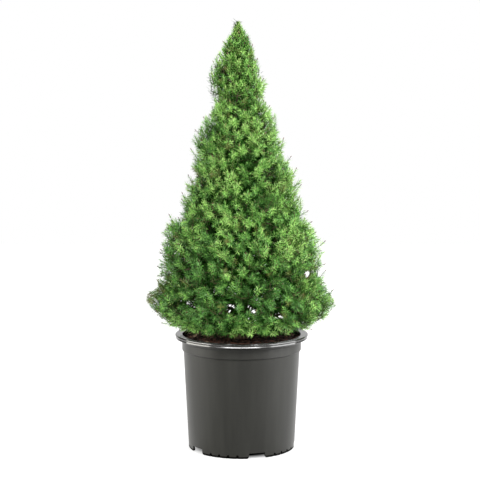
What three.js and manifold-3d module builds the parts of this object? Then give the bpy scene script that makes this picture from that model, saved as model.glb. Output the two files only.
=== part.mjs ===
// A dwarf Alberta spruce in a nursery pot: a plastic pot, its potting mix, a trunk, the main boughs, and
// the masses of needles round them. Millimetres, +Z up, the origin at the middle of the pot's base.
// Azimuths are in degrees from +X, turning towards +Y.
import * as THREE from "three";
import { mergeVertices } from "three/addons/utils/BufferGeometryUtils.js";
import Module from "manifold-3d";

const wasm = await Module();
wasm.setup();

// ---------------------------------------------------------------- driving dimensions

const CLEAR = 0.3; // gap where two solids meet
const POT_SIDES = 48; // facets round the pot
const MIX_SIDES = 36; // and round its potting mix

const POT = {
  height: 242,
  lipRadius: 140,
  lipDrop: 6, // height of the lip's outer edge
  collarRadius: 125.5, // outside of the band under the lip
  collarHeight: 20,
  collarStep: 1.3, // how far the band stands out of the wall
  footRadius: 112,
  footRound: 3,
  wall: 2.4,
  floorHeight: 12, // underside of the floor above the feet
};
const NOTCH = { count: 5, firstAzimuth: -73.4, span: 17.6 }; // gaps between the feet
const DRAIN = { count: 8, radius: 7, ringRadius: 62 };
const MIX = { top: 235, dish: 4, padRadius: 22, roughness: 1.6, shoulder: 12, spread: 1.5 };

const TRUNK = {
  footRadius: 15, // at the flare
  flareHeight: 10.4, // over which the flare falls to about a third
  stemRadius: 10.5, // above the flare
  tipRadius: 1.1,
  top: 822,
  lean: [-7, 4], // how far the tip stands off the foot, along X and Y
  swing: 2.5, // to either side of that on the way up
  sides: 10,
  steps: 12,
};

// The crown's outer surface, from its tip down and in under its lowest tufts: [height, radius].
const CROWN_PROFILE = [
  [897, 0],
  [884, 9],
  [868, 19],
  [822, 43],
  [775, 53],
  [735, 53],
  [700, 68],
  [650, 88],
  [600, 104],
  [550, 116],
  [500, 129],
  [450, 159],
  [400, 168],
  [350, 176],
  [322, 190],
  [300, 187],
  [270, 165],
  [253, 132],
  [249, 70],
];
const CROWN_WIDEST = Math.max(...CROWN_PROFILE.map(([, radius]) => radius));
// Where the crown stands out of that profile or falls short of it.
const BULGES = [
  { azimuth: 180, height: 790, out: 11, tall: 24, wide: 60 },
  { azimuth: 0, height: 800, out: -8, tall: 24, wide: 60 },
  { azimuth: 180, height: 655, out: 7, tall: 20, wide: 45 },
  { azimuth: 0, height: 575, out: 11, tall: 26, wide: 40 },
  { azimuth: 180, height: 575, out: -9, tall: 26, wide: 40 },
  { azimuth: 180, height: 472, out: 12, tall: 20, wide: 40 },
  { azimuth: 0, height: 430, out: 6, tall: 22, wide: 40 },
  { azimuth: 188, height: 320, out: 14, tall: 16, wide: 26 },
  { azimuth: -4, height: 306, out: 6, tall: 20, wide: 30 },
  { azimuth: 78, height: 540, out: 9, tall: 40, wide: 38 },
  { azimuth: -118, height: 400, out: 7, tall: 36, wide: 34 },
];

// Whorls of masses, lowest first: the height of their hearts, how many go round, and whether the
// trunk carries them on boughs.
const WHORLS = [
  { height: 294, count: 6, turn: 15, boughs: true },
  { height: 388, count: 6, turn: 45, boughs: true },
  { height: 478, count: 5, turn: 10, boughs: true },
  { height: 566, count: 4, turn: 30, boughs: true },
  { height: 646, count: 4, turn: 75, boughs: false },
  { height: 720, count: 3, turn: 20, boughs: false },
  { height: 788, count: 3, turn: 80, boughs: false },
];
const LEADER_HEART = 852; // height of the heart of the mass at the tip
const HEART = { share: 0.62, scatter: 16 }; // share of the crown's radius out from the trunk; heights vary
const HOLLOW = { share: 0.26, least: 4 }; // bare space round the trunk: share of the crown's radius
const SPACE_MARGIN = 0.4; // each mass keeps this far inside its own space
const SPACE_SKIRT = 2; // how far the lowest spaces reach below the crown's surface

const BOUGH = {
  rootRadius: 3.8,
  tipRadius: 2.6,
  rise: 30, // degrees
  stagger: 14, // between the roots of neighbours
  lowest: 10, // above the trunk's foot
  tipDrop: 0.2, // of its run
  sag: 0.12,
  sides: 5,
  steps: 3,
};
const STEM = {
  trunkShare: 0.5, // of the trunk's radius, where a mass has no bough
  tipRadius: 1.1,
  drop: 14, // from its heart down to where it leaves the trunk
  bend: 0.35, // how far along it keeps the way it set off
  reach: 0.8, // of the way from its heart to the crown's surface
  sides: 4,
  steps: 2,
};
// A core stops this far inside the crown's surface, or at this share of the way there, whichever is
// farther out, give or take its unevenness.
const CORE = { depth: 34, share: 0.55, uneven: 0.12 };
const TWIG = { radius: 2.2, behind: 0.15, first: 0.15, last: 0.85 }; // its fork's place along the stem
const SPRAYS = 206; // over the whole crown
const SPREAD_FLOOR = 26; // sprays crowd towards the tip as though the crown were this much wider
const SPRAY = {
  prongs: 3,
  longest: 66,
  shortest: 48,
  crownShare: 0.75, // and no longer than this share of the crown's radius
  crownExtra: 12, // and this much
  width: 0.3, // of its length
  notch: 0.42, // of its width
  prongsBehindTip: 0.36, // of its length
  notchBehindProngs: 0.16,
  rise: 36, // degrees above level, low on the crown
  riseAtTip: 72,
  riseScatter: 30,
  turnScatter: 40,
};
const UNDERSIDE = { below: 300, depth: 50, rise: -8 }; // sprays under the crown turn down
// A spray is tried in these ways, one after another: how far it turns to point straight out from its
// mass's heart, and how wide it opens.
const SPRAY_TRIES = [
  { follow: 0.3, open: 1 },
  { follow: 0.7, open: 0.85 },
  { follow: 1, open: 0.6 },
  { follow: 1, open: 0.35 },
];
const SHORT_OF_EDGE = 0.97; // a core stops at this share of the way to the edge of its space
const HALVINGS = 14; // steps to find the crown's surface
const SIMPLIFY = 0.05; // joining leaves slivers smaller than this, which are dropped

// ---------------------------------------------------------------- small helpers

const radians = THREE.MathUtils.degToRad;
const lerp = THREE.MathUtils.lerp;
const clamp = THREE.MathUtils.clamp;
const GOLDEN_ANGLE = Math.PI * (3 - Math.sqrt(5));
const UP = new THREE.Vector3(0, 0, 1);

/** A repeatable number from 0 to 1 for a whole number and a channel. */
function seeded(index, channel) {
  const wave = Math.sin(index * 12.9898 + channel * 78.233) * 43758.5453;
  return wave - Math.floor(wave);
}

/** The value at x of a curve through [x, value] rows, whose x only falls or only rises. */
function along(rows, x) {
  const falling = rows[0][0] > rows.at(-1)[0];
  const sorted = falling ? rows.toReversed() : rows;
  if (x <= sorted[0][0]) return sorted[0][1];
  for (let i = 1; i < sorted.length; i++) {
    const [x0, v0] = sorted[i - 1];
    const [x1, v1] = sorted[i];
    if (x <= x1) return lerp(v0, v1, (x - x0) / (x1 - x0));
  }
  return sorted.at(-1)[1];
}

/** A closed three.js geometry as a solid that can be joined and cut. */
function solid(geometry) {
  const bare = geometry.clone();
  for (const name of Object.keys(bare.attributes)) {
    if (name !== "position") bare.deleteAttribute(name);
  }
  const merged = mergeVertices(bare, 1e-4);
  return new wasm.Manifold(
    new wasm.Mesh({
      numProp: 3,
      vertProperties: merged.attributes.position.array,
      triVerts: new Uint32Array(merged.index.array),
    }),
  );
}

/** The three.js geometry of a solid. */
function geometryOf(shape) {
  const mesh = shape.getMesh();
  const geometry = new THREE.BufferGeometry();
  geometry.setAttribute("position", new THREE.BufferAttribute(mesh.vertProperties, 3));
  geometry.setIndex(new THREE.BufferAttribute(mesh.triVerts, 1));
  geometry.computeVertexNormals();
  return geometry;
}

function material(color, roughness) {
  return new THREE.MeshStandardMaterial({ color, roughness, metalness: 0 });
}

function named(name, geometry, finish) {
  const mesh = new THREE.Mesh(geometry, finish);
  mesh.name = name;
  return mesh;
}

/** A tapering limb: a cylinder bent onto a curve, its radius given along the curve from 0 to 1. */
function limb(curve, radiusAt, sides, steps) {
  const cylinder = new THREE.CylinderGeometry(1, 1, 1, sides, steps);
  const position = cylinder.attributes.position;
  const frames = curve.computeFrenetFrames(steps);
  const point = new THREE.Vector3();
  for (let i = 0; i < position.count; i++) {
    const t = 0.5 - position.getY(i);
    const step = Math.round(t * steps);
    const radius = radiusAt(t);
    point.copy(curve.getPointAt(t));
    point.addScaledVector(frames.normals[step], position.getX(i) * radius);
    point.addScaledVector(frames.binormals[step], position.getZ(i) * radius);
    position.setXYZ(i, point.x, point.y, point.z);
  }
  return solid(cylinder);
}

// ---------------------------------------------------------------- pot and potting mix

/** The outside radius of the pot's wall at a height. */
function wallRadius(height) {
  return lerp(POT.footRadius, POT.collarRadius - POT.collarStep, height / POT.height);
}

function potProfile() {
  const { height, lipRadius, lipDrop, collarRadius, collarHeight, wall, floorHeight } = POT;
  const collarTop = height - lipDrop - 8;
  const collarFoot = collarTop - collarHeight;
  return [
    [0, floorHeight],
    [POT.footRadius - wall - 1, floorHeight],
    [POT.footRadius - wall - 3, 0],
    [POT.footRadius - POT.footRound, 0],
    [wallRadius(POT.footRound), POT.footRound],
    [wallRadius(collarFoot), collarFoot],
    [collarRadius - 0.4, collarFoot + 2],
    [collarRadius, collarTop],
    [collarRadius + 6, height - lipDrop - 2],
    [lipRadius, height - lipDrop + 1.2],
    [lipRadius - 1.6, height - 3.4],
    [collarRadius + 5, height - 1.2],
    [collarRadius + 2.2, height],
    [collarRadius - wall, collarTop],
    [wallRadius(collarFoot) - wall, collarFoot],
    [POT.footRadius - wall, floorHeight + wall],
    [0, floorHeight + wall],
  ].map(([r, z]) => new THREE.Vector2(r, z));
}

/** A lathed solid that stands on +Z, from a profile that runs up its outside. */
function lathed(profile, sides) {
  return new THREE.LatheGeometry(profile, sides).rotateX(Math.PI / 2);
}

/** The wedge that parts two feet, as wide as the gap and as high as the floor. */
function footGap(azimuth) {
  const { footRadius, floorHeight, wall } = POT;
  const width = 2 * footRadius * Math.sin(radians(NOTCH.span / 2));
  const depth = 6 * wall;
  const gap = new THREE.BoxGeometry(depth, width, 2 * floorHeight);
  gap.translate(footRadius - depth / 2 + 2 * wall, 0, 0);
  gap.rotateZ(radians(azimuth));
  return solid(gap);
}

function drainHole(azimuth) {
  const hole = new THREE.CylinderGeometry(DRAIN.radius, DRAIN.radius, 30, 10).rotateX(Math.PI / 2);
  hole.translate(DRAIN.ringRadius, 0, POT.floorHeight);
  hole.rotateZ(radians(azimuth));
  return solid(hole);
}

function pot() {
  const gaps = Array.from({ length: NOTCH.count }, (_, i) =>
    footGap(NOTCH.firstAzimuth + (360 / NOTCH.count) * i),
  );
  const holes = Array.from({ length: DRAIN.count }, (_, i) =>
    drainHole((360 / DRAIN.count) * (i + 0.5)),
  );
  const shell = solid(lathed(potProfile(), POT_SIDES));
  return geometryOf(shell.subtract(wasm.Manifold.union([...gaps, ...holes])));
}

/** The potting mix: it fills the pot to just below the lip, and its lumpy top dips to the trunk. */
function pottingMix() {
  const { floorHeight, footRadius, wall } = POT;
  const foot = floorHeight + wall + CLEAR;
  const [innerFoot, innerTop] = [footRadius - wall, wallRadius(MIX.top) - wall];
  const inside = (height) =>
    lerp(innerFoot, innerTop, (height - floorHeight) / (MIX.top - floorHeight)) - 2 * CLEAR;
  const profile = [
    [0, foot],
    [inside(foot), foot],
    [inside(MIX.top - MIX.shoulder), MIX.top - MIX.shoulder],
    [inside(MIX.top) + MIX.spread, MIX.top - MIX.shoulder / 3],
    [100, MIX.top - 1],
    [74, MIX.top - MIX.dish * 0.4],
    [48, MIX.top - MIX.dish * 0.8],
    [MIX.padRadius, MIX.top - MIX.dish],
    [0, MIX.top - MIX.dish],
  ].map(([r, z]) => new THREE.Vector2(r, z));
  const filling = lathed(profile, MIX_SIDES);
  const position = filling.attributes.position;
  for (let i = 0; i < position.count; i++) {
    const radius = Math.hypot(position.getX(i), position.getY(i));
    const loose = position.getZ(i) > MIX.top - 8 && radius > MIX.padRadius + 1;
    if (!loose) continue;
    const place = Math.round(position.getX(i)) * 7 + Math.round(position.getY(i)) * 13;
    position.setZ(i, position.getZ(i) + (seeded(place, 1) - 0.5) * 2 * MIX.roughness);
  }
  return filling;
}

// ---------------------------------------------------------------- trunk

const mixPad = MIX.top - MIX.dish;
const trunkFoot = mixPad + CLEAR;

/** The middle of the trunk at a height: it sways a little on its way up. */
function trunkAt(height) {
  const t = clamp((height - trunkFoot) / (TRUNK.top - trunkFoot), 0, 1.1);
  const swing = Math.sin(t * Math.PI * 2) * TRUNK.swing;
  const [leanX, leanY] = TRUNK.lean;
  return new THREE.Vector3(leanX * t * t + swing * t, leanY * t + swing * (1 - t), height);
}

/** The trunk's radius at a height: a root flare, then an even taper to the tip. */
function trunkRadius(height) {
  const flare = (TRUNK.footRadius - TRUNK.stemRadius) * Math.exp((trunkFoot - height) / TRUNK.flareHeight);
  const taper = clamp((height - trunkFoot) / (TRUNK.top - trunkFoot), 0, 1);
  return lerp(TRUNK.stemRadius, TRUNK.tipRadius, taper) + flare;
}

/** The trunk, or the trunk with this much clear space round it. */
function trunk(around = 0) {
  const rings = new THREE.CylinderGeometry(1, 1, 1, TRUNK.sides, TRUNK.steps).rotateX(Math.PI / 2);
  const position = rings.attributes.position;
  for (let i = 0; i < position.count; i++) {
    const share = position.getZ(i) + 0.5;
    const height = lerp(trunkFoot, TRUNK.top, share * share * 0.35 + share * 0.65);
    const middle = trunkAt(height);
    const radius = trunkRadius(height) + around;
    middle.x += position.getX(i) * radius;
    middle.y += position.getY(i) * radius;
    if (share > 0.999) middle.z += around;
    position.setXYZ(i, middle.x, middle.y, middle.z);
  }
  return solid(rings);
}

// ---------------------------------------------------------------- the crown's shape

/** The crown's radius at a height and azimuth, from the middle of the trunk. */
function crownRadius(height, azimuth) {
  const swell = BULGES.reduce((sum, bulge) => {
    const turn = ((((azimuth - bulge.azimuth) % 360) + 540) % 360) - 180;
    const rise = height - bulge.height;
    return sum + bulge.out * Math.exp(-((rise / bulge.tall) ** 2) - (turn / bulge.wide) ** 2);
  }, 0);
  const radius = along(CROWN_PROFILE, height);
  return radius > 0 ? Math.max(radius + swell, 1) : 0;
}

function azimuthOf(point) {
  const middle = trunkAt(point.z);
  return THREE.MathUtils.radToDeg(Math.atan2(point.y - middle.y, point.x - middle.x));
}

/** Whether a point is inside the crown's outer surface. */
function insideCrown(point) {
  const middle = trunkAt(point.z);
  const reach = Math.hypot(point.x - middle.x, point.y - middle.y);
  const [lowest, highest] = [CROWN_PROFILE.at(-1)[0], CROWN_PROFILE[0][0]];
  return point.z > lowest && point.z < highest && reach < crownRadius(point.z, azimuthOf(point));
}

/** Points spread evenly over the crown's outer surface by the golden angle, top to bottom. */
function crownPoints(count) {
  const areas = [0]; // down to each row of the profile
  for (let i = 1; i < CROWN_PROFILE.length; i++) {
    const [z0, r0] = CROWN_PROFILE[i - 1];
    const [z1, r1] = CROWN_PROFILE[i];
    areas.push(areas[i - 1] + Math.hypot(z1 - z0, r1 - r0) * ((r0 + r1) / 2 + SPREAD_FLOOR));
  }
  const rows = areas.map((area, i) => [area, i]);
  return Array.from({ length: count }, (_, k) => {
    const place = along(rows, (areas.at(-1) * k) / count);
    const row = Math.min(Math.floor(place), CROWN_PROFILE.length - 2);
    const share = place - row;
    const height = lerp(CROWN_PROFILE[row][0], CROWN_PROFILE[row + 1][0], share);
    const azimuth = THREE.MathUtils.radToDeg(k * GOLDEN_ANGLE) % 360;
    const base = lerp(CROWN_PROFILE[row][1], CROWN_PROFILE[row + 1][1], share);
    const swell = crownRadius(height, azimuth) - along(CROWN_PROFILE, height);
    const radius = Math.max(base + swell, 0);
    const middle = trunkAt(height);
    return new THREE.Vector3(
      middle.x + radius * Math.cos(radians(azimuth)),
      middle.y + radius * Math.sin(radians(azimuth)),
      height,
    );
  });
}

// ---------------------------------------------------------------- masses of needles

/** How far from the trunk's middle a mass may begin at a height. */
function hollowRadius(height, boughs) {
  const least = trunkRadius(height) + HOLLOW.least;
  return boughs ? Math.max(HOLLOW.share * along(CROWN_PROFILE, height), least) : least;
}

/** Every mass: its name, heart, outward direction and inner edge. */
function planMasses() {
  const masses = WHORLS.flatMap((whorl, level) =>
    Array.from({ length: whorl.count }, (_, i) => {
      const azimuth = whorl.turn + (360 / whorl.count) * i;
      const height = whorl.height + (seeded(i + 10 * level, 2) - 0.5) * HEART.scatter;
      const outward = new THREE.Vector3(Math.cos(radians(azimuth)), Math.sin(radians(azimuth)), 0);
      const heart = trunkAt(height).addScaledVector(outward, HEART.share * crownRadius(height, azimuth));
      const inner = hollowRadius(height, whorl.boughs);
      const name = `foliage_${level + 1}_${i + 1}`;
      return { name, level, place: i, outward, heart, inner, boughs: whorl.boughs };
    }),
  );
  const heart = trunkAt(LEADER_HEART);
  const leader = { name: "foliage_leader", level: WHORLS.length, outward: UP.clone(), heart, inner: null };
  return [...masses, leader];
}

/** The planes that bound a mass's own space. A point inside is at a positive distance from each. */
function spaceOf(mass, masses) {
  const planes = masses
    .filter((other) => other !== mass)
    .map((other) => {
      const away = mass.heart.clone().sub(other.heart).normalize();
      const middle = mass.heart.clone().add(other.heart).multiplyScalar(0.5);
      middle.addScaledVector(away, SPACE_MARGIN);
      return new THREE.Plane().setFromNormalAndCoplanarPoint(away, middle);
    });
  if (mass.inner === null) {
    planes.push(new THREE.Plane(UP.clone(), -(TRUNK.top + CLEAR)));
    return planes;
  }
  const edge = trunkAt(mass.heart.z).addScaledVector(mass.outward, mass.inner);
  planes.push(new THREE.Plane().setFromNormalAndCoplanarPoint(mass.outward, edge));
  planes.push(new THREE.Plane(UP.clone(), SPACE_SKIRT - CROWN_PROFILE.at(-1)[0]));
  return planes;
}

const isInside = (point, planes) => planes.every((plane) => plane.distanceToPoint(point) > 0);

/**
 * How far a mass may reach from its heart along a direction: as far as `within` says for the distance
 * to the crown's surface, and short of the edges of its space.
 */
function reachAlong(heart, direction, planes, within) {
  const point = new THREE.Vector3();
  let [near, far] = [0, 2 * CROWN_WIDEST];
  for (let i = 0; i < HALVINGS; i++) {
    const middle = (near + far) / 2;
    point.copy(heart).addScaledVector(direction, middle);
    if (insideCrown(point)) near = middle;
    else far = middle;
  }
  const gaps = planes.map((plane) => {
    const closing = -plane.normal.dot(direction);
    return closing > 1e-6 ? plane.distanceToPoint(heart) / closing : Infinity;
  });
  return Math.min(within(near), ...gaps.map((gap) => gap * SHORT_OF_EDGE));
}

/** The dense middle of a mass: a ball drawn out towards the edges of its space. */
function core(mass, planes) {
  const ball = mergeVertices(bareIcosahedron(), 1e-4);
  const position = ball.attributes.position;
  const direction = new THREE.Vector3();
  for (let i = 0; i < position.count; i++) {
    direction.fromBufferAttribute(position, i).normalize();
    const uneven = 1 + CORE.uneven * (2 * seeded(i, 3 + mass.level) - 1);
    const within = (surface) => Math.max(surface - CORE.depth, surface * CORE.share) * uneven;
    const reach = reachAlong(mass.heart, direction, planes, within);
    position.setXYZ(i, ...mass.heart.clone().addScaledVector(direction, reach).toArray());
  }
  return solid(ball);
}

function bareIcosahedron() {
  const ball = new THREE.IcosahedronGeometry(1, 1);
  ball.deleteAttribute("normal");
  ball.deleteAttribute("uv");
  return ball;
}

/** The line of a mass's stem, which carries on from its bough or the trunk to near the crown's surface. */
function stemLine(mass, planes) {
  const { root, ahead } = stemRoot(mass);
  const outward = mass.heart.clone().sub(root).normalize();
  const reach = reachAlong(mass.heart, outward, planes, (surface) => surface * STEM.reach);
  const end = mass.heart.clone().addScaledVector(outward, reach);
  const bend = root.clone().addScaledVector(ahead, root.distanceTo(end) * STEM.bend);
  return new THREE.QuadraticBezierCurve3(root, bend, end);
}

/** Where a mass's stem begins, the way it sets off, and its radius there. */
function stemRoot(mass) {
  if (mass.boughs) {
    const line = boughLine(mass);
    return { root: line.v2.clone(), ahead: line.getTangent(1), radius: BOUGH.tipRadius };
  }
  if (mass.inner === null) return { root: trunkAt(TRUNK.top), ahead: UP, radius: TRUNK.tipRadius };
  const root = trunkAt(mass.heart.z - STEM.drop);
  const ahead = mass.heart.clone().sub(root).normalize();
  return { root, ahead, radius: STEM.trunkShare * trunkRadius(root.z) };
}

/** The way a spray points at a place on the crown: outwards, and more upright towards the top. */
function sprayDirection(point, index) {
  const middle = trunkAt(point.z);
  const outward = new THREE.Vector3(point.x - middle.x, point.y - middle.y, 0).normalize();
  const [highest, lowest] = [CROWN_PROFILE[0][0], CROWN_PROFILE.at(-1)[0]];
  const share = (point.z - lowest) / (highest - lowest);
  const rise = lerp(SPRAY.rise, SPRAY.riseAtTip, share ** 1.5) + (seeded(index, 4) - 0.5) * SPRAY.riseScatter;
  const under = clamp((UNDERSIDE.below - point.z) / UNDERSIDE.depth, 0, 1);
  const tilt = radians(lerp(rise, UNDERSIDE.rise, under));
  const turn = radians((seeded(index, 5) - 0.5) * SPRAY.turnScatter);
  outward.applyAxisAngle(UP, turn).multiplyScalar(Math.cos(tilt));
  return outward.addScaledVector(UP, Math.sin(tilt));
}

/** Points round an axis. Each is given as its radius and how far back along the axis it lies. */
function ringOf(points, middle, direction, spin) {
  const turn = new THREE.Quaternion().setFromUnitVectors(UP, direction);
  return points.map(([radius, back], i) => {
    const angle = spin + (2 * Math.PI * i) / points.length;
    const point = new THREE.Vector3(radius * Math.cos(angle), radius * Math.sin(angle), -back);
    return point.applyQuaternion(turn).add(middle);
  });
}

/** A twig with its spray of needles: it bends at its neck, and opens into prongs round a longer tip. */
function spray(fork, tip, direction, length, open, spin) {
  const n = SPRAY.prongs;
  const width = SPRAY.width * length * open;
  const neckAt = tip.clone().addScaledVector(direction, -length);
  const prongsAt = tip.clone().addScaledVector(direction, -SPRAY.prongsBehindTip * length);
  const twigWay = neckAt.clone().sub(fork).normalize();
  const neckWay = twigWay.clone().add(direction).normalize();
  const slim = Array(n).fill([TWIG.radius, 0]);
  const prong = [width, 0];
  const notch = [width * SPRAY.notch, SPRAY.notchBehindProngs * length];
  const corners = [
    ...ringOf(slim, fork, twigWay, spin),
    ...ringOf(slim, neckAt, neckWay, spin),
    ...ringOf(Array(n).fill([prong, notch]).flat(), prongsAt, direction, spin),
    tip,
  ];
  const last = corners.length - 1;
  const faces = [[0, 2, 1]];
  for (let i = 0; i < n; i++) {
    const next = (i + 1) % n;
    const [foot, footNext, neck, neckNext] = [i, next, n + i, n + next];
    const [sharp, dip, sharpNext] = [2 * n + 2 * i, 2 * n + 2 * i + 1, 2 * n + 2 * next];
    faces.push([foot, footNext, neckNext], [foot, neckNext, neck]);
    faces.push([neck, dip, sharp], [neck, neckNext, dip], [neckNext, sharpNext, dip]);
    faces.push([sharp, dip, last], [dip, sharpNext, last]);
  }
  return new THREE.BufferGeometry().setFromPoints(corners).setIndex(faces.flat());
}

function verticesInside(geometry, planes) {
  const position = geometry.attributes.position;
  const point = new THREE.Vector3();
  for (let i = 0; i < position.count; i++) {
    if (!isInside(point.fromBufferAttribute(position, i), planes)) return false;
  }
  return true;
}

/** The sprays, one or none, that a mass's stem sends to a point on the crown. */
function spraysAt(tip, index, mass, line, planes) {
  const room = SPRAY.crownShare * crownRadius(tip.z, azimuthOf(tip)) + SPRAY.crownExtra;
  const length = Math.min(lerp(SPRAY.shortest, SPRAY.longest, seeded(index, 6)), room);
  const straight = tip.clone().sub(mass.heart).normalize();
  const chord = line.v2.clone().sub(line.v0);
  for (const { follow, open } of SPRAY_TRIES) {
    const direction = sprayDirection(tip, index).lerp(straight, follow).normalize();
    const neck = tip.clone().addScaledVector(direction, -length);
    const offset = neck.clone().sub(line.v0).dot(chord) / chord.lengthSq();
    const fork = line.getPoint(clamp(offset - TWIG.behind, TWIG.first, TWIG.last));
    if (neck.sub(fork).dot(direction) < 0) fork.copy(mass.heart);
    const twig = spray(fork, tip, direction, length, open, seeded(index, 7) * Math.PI);
    if (verticesInside(twig, planes)) return [solid(twig)];
  }
  return [];
}

/** A mass of foliage: its core, stem and sprays joined, and cut clear of the limbs that carry it. */
function foliage(mass, masses, points, clearLimbs) {
  const planes = spaceOf(mass, masses);
  const line = stemLine(mass, planes);
  const rootRadius = stemRoot(mass).radius;
  const stem = limb(line, (t) => lerp(rootRadius, STEM.tipRadius, t), STEM.sides, STEM.steps);
  const sprays = points.flatMap((point, index) =>
    isInside(point, planes) ? spraysAt(point, index, mass, line, planes) : [],
  );
  const whole = wasm.Manifold.union([core(mass, planes), stem, ...sprays]).subtract(clearLimbs);
  const bodies = whole.simplify(SIMPLIFY).decompose();
  return geometryOf(bodies.sort((a, b) => b.volume() - a.volume())[0]);
}

// ---------------------------------------------------------------- boughs

/** The line of a mass's bough, from inside the trunk to the inner edge of the mass. */
function boughLine(mass) {
  const run = mass.inner;
  const tip = trunkAt(mass.heart.z).addScaledVector(mass.outward, run);
  tip.z -= BOUGH.tipDrop * run;
  const stagger = (mass.place % 2 ? 0.5 : -0.5) * BOUGH.stagger;
  const rootHeight = tip.z - run * Math.tan(radians(BOUGH.rise)) + stagger;
  const root = trunkAt(Math.max(rootHeight, trunkFoot + BOUGH.lowest));
  const bend = root.clone().lerp(tip, 0.5).addScaledVector(UP, -BOUGH.sag * run);
  return new THREE.QuadraticBezierCurve3(root, bend, tip);
}

/** A bough, or a bough with this much clear space round it and past its tip. */
function bough(mass, around = 0) {
  const line = boughLine(mass);
  line.v2.addScaledVector(line.getTangent(1), around);
  return limb(line, (t) => lerp(BOUGH.rootRadius, BOUGH.tipRadius, t) + around, BOUGH.sides, BOUGH.steps);
}

// ---------------------------------------------------------------- the whole plant

const plastic = material(0x3f3f3b, 0.42);
const soil = material(0x2a1f18, 0.95);
const bark = material(0x6b5138, 0.9);
const needles = material(0x4f7a33, 0.7);

const plant = new THREE.Group();
plant.add(named("pot", pot(), plastic));
plant.add(named("potting_mix", pottingMix(), soil));
plant.add(named("trunk", geometryOf(trunk()), bark));

const clearTrunk = trunk(CLEAR);
const masses = planMasses();
const points = crownPoints(SPRAYS);
for (const mass of masses) {
  const clearLimbs = mass.boughs ? clearTrunk.add(bough(mass, CLEAR)) : clearTrunk;
  plant.add(named(mass.name, foliage(mass, masses, points, clearLimbs), needles));
  if (!mass.boughs) continue;
  const limbName = mass.name.replace("foliage", "bough");
  plant.add(named(limbName, geometryOf(bough(mass).subtract(clearTrunk)), bark));
}

export default plant;
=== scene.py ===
# The looks of a dwarf Alberta spruce in a nursery pot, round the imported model.
# Metres, +Z up, the origin at the middle of the pot's base. Azimuths are in degrees from +X towards +Y.
from math import cos, hypot, pi, radians, sin, sqrt, tan
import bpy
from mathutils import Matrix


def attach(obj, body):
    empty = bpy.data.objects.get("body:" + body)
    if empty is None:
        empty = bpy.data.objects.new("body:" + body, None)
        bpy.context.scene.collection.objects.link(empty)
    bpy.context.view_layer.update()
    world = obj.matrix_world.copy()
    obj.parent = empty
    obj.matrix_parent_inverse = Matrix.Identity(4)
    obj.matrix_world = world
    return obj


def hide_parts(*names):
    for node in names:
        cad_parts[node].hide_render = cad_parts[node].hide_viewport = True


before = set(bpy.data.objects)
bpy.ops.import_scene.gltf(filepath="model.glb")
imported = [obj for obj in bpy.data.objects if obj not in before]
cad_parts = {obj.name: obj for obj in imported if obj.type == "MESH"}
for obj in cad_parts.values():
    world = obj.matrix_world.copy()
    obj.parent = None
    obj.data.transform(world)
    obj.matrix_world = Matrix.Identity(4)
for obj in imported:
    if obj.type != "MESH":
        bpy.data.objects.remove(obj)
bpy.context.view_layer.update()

from types import SimpleNamespace as Values

import bmesh
import bpy
import numpy as np
from mathutils import Vector
from mathutils.noise import noise
from numpy.linalg import norm

rng = np.random.default_rng(11)

# -------- sizes shared with the solids

POT = Values(
    height=0.242, lip_radius=0.14, lip_drop=0.006, collar_radius=0.1255, collar_height=0.02,
    collar_step=0.0013, foot_radius=0.112, foot_round=0.003, wall=0.0024, floor_height=0.012,
)
NOTCH = Values(count=5, first_azimuth=-73.4, span=17.6, corner=0.006)
SLOT = Values(count=4, step=10, width=0.005, height=0.008, inward=0.0035)  # between every two notches
FOOT_SHADE_HEIGHT = 0.0048  # how high the foot is painted dark, as the shade where the pot meets the floor
LIP_BAND = 0.0125  # how far down from the top the lip shines
DRAIN = Values(count=8, radius=0.007, ring_radius=0.062)
MIX = Values(
    top=0.235, dish=0.004, dish_radius=0.1, pad_radius=0.022, shoulder=0.004, spread=0.0015,
    lower=0.001, wave=0.0009, fade=0.01,  # the lumps: how low they stay, how high they are, where they start
)
CLEAR = 0.0003  # left between neighbours

TRUNK = Values(
    foot=MIX.top - MIX.dish + CLEAR, foot_radius=0.015, flare_height=0.0104,
    stem_radius=0.0105, tip_radius=0.0011, top=0.822, lean=(-0.007, 0.004), swing=0.0025,
)
CROWN_PROFILE = [  # height, radius
    (0.897, 0), (0.884, 0.009), (0.868, 0.019), (0.822, 0.043), (0.775, 0.053), (0.735, 0.053),
    (0.7, 0.068), (0.65, 0.088), (0.6, 0.104), (0.55, 0.116), (0.5, 0.129), (0.45, 0.159),
    (0.4, 0.168), (0.35, 0.176), (0.322, 0.19), (0.3, 0.187), (0.27, 0.165), (0.253, 0.132),
    (0.249, 0.07),
]
BULGES = [  # azimuth, height, how far out, how tall, how many degrees wide
    (180, 0.79, 0.011, 0.024, 60), (0, 0.8, -0.008, 0.024, 60), (180, 0.655, 0.007, 0.02, 45),
    (0, 0.575, 0.011, 0.026, 40), (180, 0.575, -0.009, 0.026, 40), (180, 0.472, 0.012, 0.02, 40),
    (0, 0.43, 0.006, 0.022, 40), (188, 0.32, 0.014, 0.016, 26), (-4, 0.306, 0.006, 0.02, 30),
    (78, 0.54, 0.009, 0.04, 38), (-118, 0.4, 0.007, 0.036, 34),
]
WHORLS = [  # height, count, turn, whether on boughs
    (0.294, 6, 15, True), (0.388, 6, 45, True), (0.478, 5, 10, True), (0.566, 4, 30, True),
    (0.646, 4, 75, False), (0.72, 3, 20, False), (0.788, 3, 80, False),
]
LEADER_HEART = 0.852
HEART = Values(share=0.62, scatter=0.016)  # the middle of a mass, out from the trunk
HOLLOW = Values(share=0.26, least=0.004)  # where a mass starts
BOUGH = Values(radii=(0.0038, 0.0026), rise=30, stagger=0.014, lowest=0.01, tip_drop=0.2, sag=0.12)
STEM = Values(trunk_share=0.5, tip_radius=0.0011, drop=0.014, bend=0.35, reach=0.8, gap=0.97)
SPREAD_FLOOR = 0.026
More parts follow.
